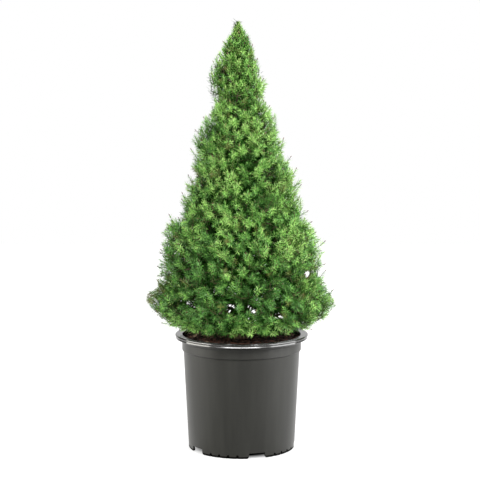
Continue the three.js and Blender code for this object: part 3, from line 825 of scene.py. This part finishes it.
def lump_depth(points):
    """How far the crown's uneven surface lies in from its smooth one, or out of it, below 0."""
    reach, _ = off_axis(points)
    wave = np.array([noise(Vector(point)) for point in points * LUMPS.per_metre])
    lump = LUMPS.deep * np.clip(LUMPS.strength * wave, LUMPS.out, 1)
    return lump * np.clip(reach / LUMPS.full_reach, LUMPS.least, 1)


def twig_bend(shoots):
    """Where the twigs' curves pull towards: straight behind each shoot."""
    back = norm(shoots.root - shoots.fork, axis=1, keepdims=True)
    return shoots.root - shoots.way * back * TWIG.bend


def along_twigs(shoots, t):
    """The point on each shoot's twig at a share of the way from its fork to its root."""
    return bezier(shoots.fork, twig_bend(shoots), shoots.root, t)


def picked(shoots, chosen):
    return Values(**{key: values[chosen] for key, values in vars(shoots).items()})


def layer_shoots(level, layer, centres, tuft_ways):
    """One layer of shoots. Those of the outermost gather in tufts."""
    count = layer.count
    tips = crown_points(count)
    ways = spray_ways(tips, SHOOT_RISES)
    reach, azimuth = off_axis(tips)
    depth = lerp(*layer.depth, rng.uniform(0, 1, count) ** 1.3)
    roomy = depth < SQUEEZE.room * reach + SQUEEZE.slack
    if level == 0:
        nearest = np.argmin(norm(tips[:, None] - centres, axis=-1), axis=1)
        offset = (tips - centres[nearest]) / TUFTS.radius
        off = np.minimum(norm(offset, axis=1), TUFTS.widest)
        tips = tips - offset * TUFTS.radius * TUFTS.pull
        depth = depth + TUFTS.dome * off**2 + lump_depth(centres)[nearest]
        ways = tuft_ways[nearest] + offset * TUFTS.open
    depth = depth + hollow_depth(tips) * (level < 2)
    depth = np.minimum(depth, SQUEEZE.deepest * reach) * np.clip(reach / SQUEEZE.narrow, SQUEEZE.least, 1)
    tips = tips - ring_way(azimuth) * depth[:, None]
    ways = unit(ways + rng.normal(0, 1, (count, 3)) * radians(layer.scatter))
    upright = progress(tips[:, 2:], *LEADER_ZONE.height)
    ways = unit(lerp(ways, UP, LEADER_ZONE.turned * upright))
    tips = tips - UP * LEADER_ZONE.drop * upright
    length = lerp(*layer.length, rng.uniform(0, 1, count))
    length = length * np.clip(reach / SQUEEZE.thin, SQUEEZE.shortest, 1)
    root = tips - ways * length[:, None]
    roomy &= (depth_in_crown(root) > SQUEEZE.inside) | (level == 0)
    kind = dict(level=np.full(count, level), stray=np.zeros(count, bool))
    return picked(Values(tip=tips, root=root, way=ways, depth=depth, **kind), roomy)


def stray_shoots():
    places = crown_points(STRAYS.count)
    reach, azimuth = off_axis(places)
    ways = unit(spray_ways(places) + rng.normal(0, STRAYS.scatter, places.shape))
    out = STRAYS.out * rng.uniform(0.4, 1, len(places)) * np.clip(reach / 0.08, 0.1, 1)
    tips = places + ways * out[:, None]
    past = np.maximum(off_axis(tips)[0] - STRAYS.widest, 0)
    tips = tips - ring_way(azimuth) * past[:, None]
    kind = dict(level=np.zeros(len(tips), int), stray=np.ones(len(tips), bool))
    root = tips - ways * STRAYS.length
    return Values(tip=tips, root=root, way=ways, depth=np.zeros(len(tips)), **kind)


def grow_shoots(branchlets):
    """Needled shoots all over the crown, each on a twig from the branchlet that suits it best."""
    forks = curves(branchlets, np.linspace(0.2, 1, 13)).reshape(-1, 3)
    centres = crown_points(TUFTS.count)
    tuft_ways = spray_ways(centres, SHOOT_RISES)
    tuft_ways = unit(tuft_ways + rng.normal(0, TUFTS.scatter, centres.shape))
    parts = [layer_shoots(level, layer, centres, tuft_ways) for level, layer in enumerate(LAYERS)]
    parts.append(stray_shoots())
    keys = vars(parts[0])
    shoots = Values(**{key: np.concatenate([vars(part)[key] for part in parts]) for key in keys})
    lowest = np.minimum(shoots.tip[:, 2], shoots.root[:, 2])
    keep = (lowest > MIX.top + SKIRT_CLEAR) & ~through_sky((shoots.tip + shoots.root) / 2)
    shoots = picked(shoots, keep)
    best = []
    for root, way in zip(shoots.root, shoots.way):
        back = root - forks
        far = norm(back, axis=1) + 1e-9
        best.append(np.argmin(far * (1 + TWIG.turn_back * np.clip(0.3 - back @ way / far, 0, 2))))
    shoots.fork = forks[best]
    middle = along_twigs(shoots, 0.5)
    kept = ~through_sky(middle) & ~through_sky(shoots.root) & (depth_in_crown(middle) > TWIG.inside)
    return picked(shoots, kept)


def make_twigs(masses, stems, branchlets, shoots, foliage):
    """The stems and branchlets as one piece, and the shoots on their thin twigs as another."""
    t = np.linspace(0, 1, 10)
    roots = np.array([
        BOUGH.radii[1] if mass.boughs
        else TRUNK.tip_radius if mass.inner is None
        else STEM.trunk_share * trunk_radius(stem[0][2])
        for mass, stem in zip(masses, stems)
    ])
    stem_tubes = tubes(curves(stems, t), lerp(roots[:, None], STEM.tip_radius, t), 8)
    t = np.linspace(0, 1, 7)
    lines = curves(branchlets, t)
    radii = np.tile(lerp(*BRANCHLET.radii, t), (len(lines), 1))
    old_paint = bark("twig_bark", (0.018, 0.014, 0.009), (0.065, 0.048, 0.031), 300)
    twigs = mesh_object("twigs", *joined([stem_tubes, tubes(lines, radii, 5)]), old_paint, smooth=True)
    dress(twigs, "bark", *foliage)
    line = [along_twigs(shoots, t) for t in (0, TWIG.neck, 1)]
    line = np.stack([*line, shoots.tip], axis=1)
    radii = np.interp([0, TWIG.neck, 1, 2], [0, 1, 2], TWIG.radii)
    young_paint = bark("shoot_bark", (0.03, 0.034, 0.013), (0.08, 0.08, 0.032), 300)
    young = mesh_object("shoots", *tubes(line, np.tile(radii, (len(line), 1)), 3), young_paint)
    dress(young, "bark", *foliage)


def make_buds(shoots, foliage):
    """Brown resting buds on some of the outermost shoots."""
    outer = np.flatnonzero((shoots.level == 0) & (shoots.depth < BUD.deepest))
    chosen = outer[(rng.uniform(0, 1, len(outer)) < BUD.share) | shoots.stray[outer]]
    steps = np.array([-0.2, 0.25, 0.7, 1.0])
    lines = shoots.tip[chosen, None] + shoots.way[chosen, None] * (steps[:, None] * BUD.length)
    radii = np.tile(np.array([0.5, 1.0, 0.6, 0.08]) * BUD.radius, (len(lines), 1))
    paint = bark("bud_scales", (0.07, 0.04, 0.03), (0.22, 0.135, 0.085), 500)
    dress(mesh_object("buds", *tubes(lines, radii, 5), paint, smooth=True), "bark", *foliage)


# -------- needles

# The outer needles are dealt these tones partly by their own variation and partly by painted light and
# painted shade.
TONES = [  # name, base colour, and which share of the outer needles takes it, darkest first
    ("deep", (0.048, 0.152, 0.026), 0.18),
    ("dusky", (0.086, 0.244, 0.044), 0.23),
    ("mid", (0.138, 0.345, 0.062), 0.26),
    ("bright", (0.212, 0.445, 0.082), 0.21),
    ("fresh", (0.345, 0.57, 0.15), 0.12),
]
FRESH = Values(middle=(0.109, -0.115, 0.441), radius=0.045, more=1.1)  # where the year's growth shows most
OLIVE = Values(  # sprays that have dulled to olive: colour, share anywhere, and share round one low bough
    color=(0.115, 0.155, 0.032), share=0.04, more=0.8, middle=(-0.165, -0.02, 0.318), radius=0.045,
)
TONE_MIX = Values(own=0.26, tip=0.25)  # how far needles stray from their spray's tone, and how pale tips are
# How far each cause moves the outer needles' tones: right is painted light from the key lamp, depth is
# painted shade.
BRIGHTNESS = Values(patch=1.3, own=0.22, depth=45, skirt=0.9, right=1.2, high=1.0)
INNER_TONES = {  # older needles, darker green by age and painted darker still as the shade deep in the crown: base colour and specular
    "last_year": ((0.036, 0.11, 0.016), 0.08),
    "grown": ((0.014, 0.064, 0.005), 0.04),
    "old": ((0.007, 0.032, 0.003), 0.04),
}
YOUNG_SPECULAR = 0.33


def bare_lengths(root, tip):
    """Straight lengths of wood without a new shoot, to carry older needles."""
    return Values(root=root, tip=tip, way=unit(tip - root), stray=np.zeros(len(root), bool))


def last_year(shoots):
    """The older wood just behind each outer shoot, with last year's needles."""
    outer = np.flatnonzero((shoots.level == 0) & ~shoots.stray)
    tip = shoots.root[outer]
    back = tip - twig_bend(shoots)[outer]
    far = norm(back, axis=1, keepdims=True)
    return bare_lengths(tip - back / far * np.minimum(far * 1.3, LAST_YEAR), tip)


def needle_blades(shoots, chosen, kind):
    """Keeled blades round the chosen shoots: four corners each, which shoot, and how far along it."""
    root, tip, way = shoots.root[chosen], shoots.tip[chosen], shoots.way[chosen]
    stray = shoots.stray[chosen]
    length = norm(tip - root, axis=1)
    dense = kind.per_metre * np.where(stray, STRAYS.thin, 1)
    count = np.maximum(np.round(length * dense).astype(int), 6)
    owner = np.repeat(np.arange(len(count)), count)
    j = np.arange(count.sum()) - np.repeat(np.cumsum(count) - count, count)
    t = (j + 0.5) / count[owner] * np.where(stray, STRAYS.needled, 1)[owner]
    first, second = across(way)
    turn = j * GOLDEN_ANGLE + seeded(chosen, 9)[owner] * 2 * pi
    turn = turn + rng.normal(0, BLADE.turn, len(turn))
    out = first[owner] * np.cos(turn)[:, None] + second[owner] * np.sin(turn)[:, None]
    lean = lerp(*kind.lean, t**1.5) + rng.normal(0, BLADE.lean, len(t))
    lean = np.radians(lean)[:, None]
    needle_way = way[owner] * np.cos(lean) + out * np.sin(lean)
    size = kind.length * (0.74 + 0.34 * np.sin(np.pi * np.clip(t, 0.05, 0.92)))
    size = (size * rng.uniform(*BLADE.size, len(t)))[:, None]
    side = unit(np.cross(needle_way, out))
    under = -np.cross(side, needle_way)
    base = root[owner] + (tip - root)[owner] * t[:, None]
    end = base + needle_way * size
    belly = base + needle_way * size * BLADE.widest + under * kind.width * BLADE.keel
    half = side * kind.width / 2
    verts = np.stack([base, belly + half, belly - half, end], axis=1)
    seen = ~through_sky(base + needle_way * size * 0.6)
    return verts[seen], owner[seen], t[seen]


def blade_mesh(blades):
    """Blades as closed bodies of four triangles."""
    sides = np.array([(0, 2, 1), (0, 1, 3), (1, 2, 3), (0, 3, 2)])
    faces = np.arange(len(blades))[:, None, None] * 4 + sides
    return blades.reshape(-1, 3), faces.reshape(-1, 3)


def needle_mesh(shoots, kind, level=None):
    """One kind of needles on one layer's shoots, or on all."""
    chosen = np.arange(len(shoots.root)) if level is None else np.flatnonzero(shoots.level == level)
    return blade_mesh(needle_blades(shoots, chosen, NEEDLES[kind])[0])


def branch_pieces(branchlets):
    """The outer lengths of the branchlets cut into straight pieces that carry older needles."""
    lines = curves(branchlets, np.linspace(0.3, 1, 6))
    return bare_lengths(lines[:, :-1].reshape(-1, 3), lines[:, 1:].reshape(-1, 3))


def brightness(shoots):
    """How light each shoot's needles are: in soft patches, and more at the top and the skirt; more to the
    right as painted light from the key lamp, and less the deeper a shoot lies as painted shade.
    """
    tip = shoots.tip
    points = [Vector(point) for point in tip]
    patch = np.array([noise(point * 17) + 0.6 * noise(point * 45) for point in points])
    own = rng.normal(0, BRIGHTNESS.own, len(tip))
    # Painted shade: shoots that lie deeper in, as in the hollows, take darker tones.
    depth = -BRIGHTNESS.depth * (shoots.depth - 0.008)
    skirt = BRIGHTNESS.skirt * np.exp(-(((tip[:, 2] - 0.265) / 0.025) ** 2))
    # Painted light: shoots further to the right, towards the key lamp, take lighter tones.
    right = tip[:, 0] * BRIGHTNESS.right
    high = BRIGHTNESS.high * progress(tip[:, 2], 0.33, 0.55)
    fresh = FRESH.more * near(tip, FRESH)
    return BRIGHTNESS.patch * patch + own + depth + skirt + right + high + fresh


def near(points, spot):
    """From 1 in the middle of a spot to 0 well outside it."""
    away = norm(points - spot.middle, axis=1) / spot.radius
    return np.exp(-(away**2))


def make_needles(shoots, branchlets, foliage):
    def add(name, mesh, color, specular):
        needles = mesh_object("needles_" + name, *mesh, needle_paint(name, color, specular))
        dress(needles, "needles", *foliage)

    outer = np.flatnonzero(shoots.level == 0)
    rank = np.argsort(np.argsort(brightness(shoots)[outer], kind="stable")) / len(outer)
    blades, owner, along = needle_blades(shoots, outer, NEEDLES["young"])
    tone = rank[owner] + rng.normal(0, TONE_MIX.own, len(owner)) + TONE_MIX.tip * along
    limits = np.quantile(tone, np.cumsum([share for _, _, share in TONES])[:-1])
    dealt = np.searchsorted(limits, tone)
    dull = rng.uniform(0, 1, len(outer)) < OLIVE.share + OLIVE.more * near(shoots.tip[outer], OLIVE)
    dealt[dull[owner]] = len(TONES)
    for place, (name, color, _) in enumerate([*TONES, ("olive", OLIVE.color, None)]):
        add(name, blade_mesh(blades[dealt == place]), color, YOUNG_SPECULAR)
    inner = dict(
        last_year=needle_mesh(last_year(shoots), "last_year"), grown=needle_mesh(shoots, "grown", 1),
        old=joined([needle_mesh(shoots, "old", 2), needle_mesh(branch_pieces(branchlets), "branch")]),
    )
    for name, mesh in inner.items():
        add(name, mesh, *INNER_TONES[name])


def make_plant():
    masses = plan_masses()
    foliage = [mass.name for mass in masses]
    make_limbs(masses)
    stems, branchlets = grow_branchlets(masses)
    shoots = grow_shoots(branchlets)
    make_twigs(masses, stems, branchlets, shoots, foliage)
    make_buds(shoots, foliage)
    make_needles(shoots, branchlets, foliage)


# -------- studio

WORLD = Values(seen=1.0, shed=0.12)
FLOOR = Values(
    albedo=0.2, far=3.0, half=4,
    glow=[(0.085, 0.0), (0.112, 0.87), (0.25, 0.87), (3.0, 1.0)],  # by distance, dark under the pot as a painted contact shadow
    # How much of the glow lights things: before the pot by how far to the right of it, and behind it.
    shed=[
        (-1.0, 0.95), (-0.9, 0.55), (-0.7, 0.18), (-0.3, 0.05), (0.5, 0.04), (0.7, 0.22), (0.85, 0.6),
        (1.0, 0.8),
    ],
    shed_behind=0.9, behind=(-0.08, 0.0),
)
LIGHTS = [  # name, place, target, size, power, and a colour other than white
    ("key", (1.3, -2.1, 2.6), (0, 0, 0.45), (0.9, 0.9), 130),
    ("left_box", (-2.3, -0.3, 0.9), (0, 0, 0.3), (2.3, 2.0), 95, (1, 0.98, 0.9)),
    ("right_box", (2.2, -0.45, 0.9), (0, 0, 0.35), (2.3, 2.0), 86),
    ("backdrop", (0, 2.7, 0.65), (0, 0, 0.65), (5.0, 1.3), 16),
    ("rear", (0.3, 2.4, 2.4), (0, 0, 0.5), (2.0, 1.2), 26),
]
STRIPS = Values(
    azimuths=(-138, -90, -42), distance=2.7, height=1.3, target=(0, 0, 0.25), size=(2.46, 0.14), power=19,
)


def area_light(name, place, target, size, power, color=(1, 1, 1)):
    data = bpy.data.lights.new(name, "AREA")
    data.shape = "RECTANGLE"
    data.size, data.size_y = size
    data.energy = power
    data.color = color
    light = add_object(name, data)
    light.location = place
    light.rotation_euler = (Vector(target) - Vector(place)).to_track_quat("-Z", "Y").to_euler()


def seen_and_shed(near, seen, shed):
    """A strength that is one number for the camera and another for the light."""
    return spread(add_node(near, "LightPath", {}).outputs["Is Camera Ray"], 0, 1, shed, seen)


def white_world():
    """A world that looks white to the camera and sheds a softer light."""
    world = bpy.data.worlds.new("studio")
    world.use_nodes = True
    background = world.node_tree.nodes["Background"]
    wire(background, {"Color": (1, 1, 1, 1), "Strength": seen_and_shed(background, WORLD.seen, WORLD.shed)})
    bpy.context.scene.world = world


def floor_paper():
    """White paper that glows to the camera, fading to black under the pot as a painted contact shadow. It
    sheds less light, and least in front of the pot.
    """
    material, bsdf = shader("floor_paper", (FLOOR.albedo,) * 3, 0.9, 0.1)
    place = in_object(bsdf)
    away = add_node(bsdf, "VectorMath", {0: place}, operation="LENGTH").outputs["Value"]
    glow = [(at / FLOOR.far, (shade,) * 3) for at, shade in FLOOR.glow]
    wire(bsdf, {"Emission Color": ramp(spread(away, 0, FLOOR.far, 0, 1), glow)})
    parts = add_node(bsdf, "SeparateXYZ", {"Vector": place}).outputs
    aside = add_node(bsdf, "Math", {0: parts["X"], 1: away}, operation="DIVIDE").outputs["Value"]
    shed = [((at + 1) / 2, (shade,) * 3) for at, shade in FLOOR.shed]
    in_front = ramp(spread(aside, -1, 1, 0, 1), shed)
    shed = spread(spread(parts["Y"], *FLOOR.behind, 0, 1), 0, 1, in_front, FLOOR.shed_behind)
    wire(bsdf, {"Emission Strength": seen_and_shed(bsdf, 1, shed)})
    return material


def make_camera():
    data = bpy.data.cameras.new("camera")
    data.lens, data.sensor_width = CAMERA.lens, CAMERA.sensor
    camera = add_object("camera", data)
    camera.location = (CAMERA.x, -CAMERA.distance, CAMERA.height)
    camera.rotation_euler = (radians(90 - CAMERA.down), 0, 0)
    bpy.context.scene.camera = camera


def make_studio():
    bpy.context.scene.view_settings.view_transform = "Standard"
    white_world()
    for light in LIGHTS:
        area_light(*light)
    for azimuth in STRIPS.azimuths:
        place = ring_way(azimuth) * STRIPS.distance + UP * STRIPS.height
        area_light(f"strip_{-azimuth}", place, STRIPS.target, STRIPS.size, STRIPS.power)
    corners = np.array([(-1, -1, 0), (1, -1, 0), (1, 1, 0), (-1, 1, 0)]) * FLOOR.half
    mesh_object("floor", corners, np.array([(0, 1, 2, 3)]), floor_paper())
    make_camera()


make_studio()
make_pot()
make_mix()
make_mulch()
make_plant()
